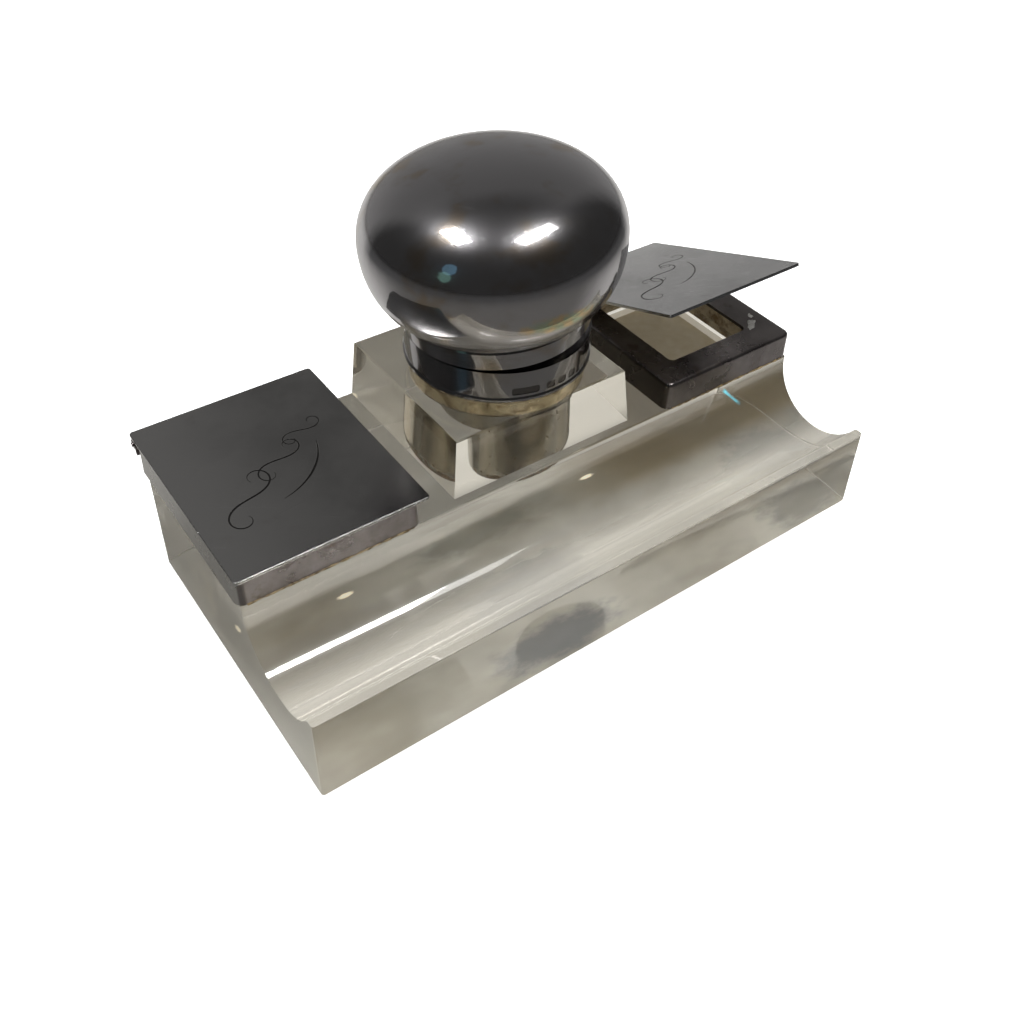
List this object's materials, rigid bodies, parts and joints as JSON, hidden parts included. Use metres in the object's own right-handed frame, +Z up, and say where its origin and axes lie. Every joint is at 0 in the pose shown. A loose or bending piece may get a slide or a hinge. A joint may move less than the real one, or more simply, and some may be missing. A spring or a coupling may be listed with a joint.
{
  "type": "desk inkstand",
  "caption": "Glass desk inkstand with a pen trough, a central ink well under a bulbous hinged metal lid, and a framed stamp well with a flat hinged lid on each side.",
  "frame": {"origin": "centre of the glass block's underside, midway along its length and depth measured at the block's top face", "axes": "+X right along the pen trough, -Y front (pen trough side), +Z up"},
  "size_m": [0.1544, 0.0822, 0.0928],
  "materials": {
    "clear_glass": "clear, cut and polished",
    "polished_silver": "polished, darkened by tarnish",
    "dull_silver": "fine scratched satin, tarnished",
    "tarnished_silver": "heavily tarnished, worn at the edges",
    "hinge_silver": "tarnished",
    "plaster": "rough, stained plaster"
  },
  "bodies": {
    "base": {"glass_block": "clear_glass", "ink_collar": "polished_silver", "ink_collar_cement": "plaster", "ink_collar_knuckles": "hinge_silver", "ink_hinge_pin": "hinge_silver", "left_frame": "tarnished_silver", "left_frame_bedding": "plaster", "left_frame_knuckles": "hinge_silver", "left_hinge_pin": "hinge_silver", "right_frame": "tarnished_silver", "right_frame_bedding": "plaster", "right_frame_knuckles": "hinge_silver", "right_hinge_pin": "hinge_silver"},
    "ink_lid": {"ink_lid_band": "polished_silver", "ink_lid_dome": "polished_silver", "ink_lid_liner": "polished_silver", "ink_lid_knuckle": "hinge_silver"},
    "left_lid": {"left_stamp_lid": "dull_silver", "left_lid_knuckles": "hinge_silver"},
    "right_lid": {"right_stamp_lid": "dull_silver", "right_lid_knuckles": "hinge_silver"}
  },
  "joints": [
    {"name": "ink_lid_hinge", "type": "hinge", "parent": "base", "child": "ink_lid", "pos_m": [0.00045, 0.03615, 0.05536], "axis": [-1, 0, 0], "range_deg": [0, 98]},
    {"name": "left_lid_hinge", "type": "hinge", "parent": "base", "child": "left_lid", "pos_m": [-0.0552, 0.041, 0.0348], "axis": [-1, 0, 0], "range_deg": [0, 105]},
    {"name": "right_lid_hinge", "type": "hinge", "parent": "base", "child": "right_lid", "pos_m": [0.0552, 0.041, 0.0348], "axis": [-1, 0, 0], "range_deg": [-20.4, 84.6]}
  ]
}
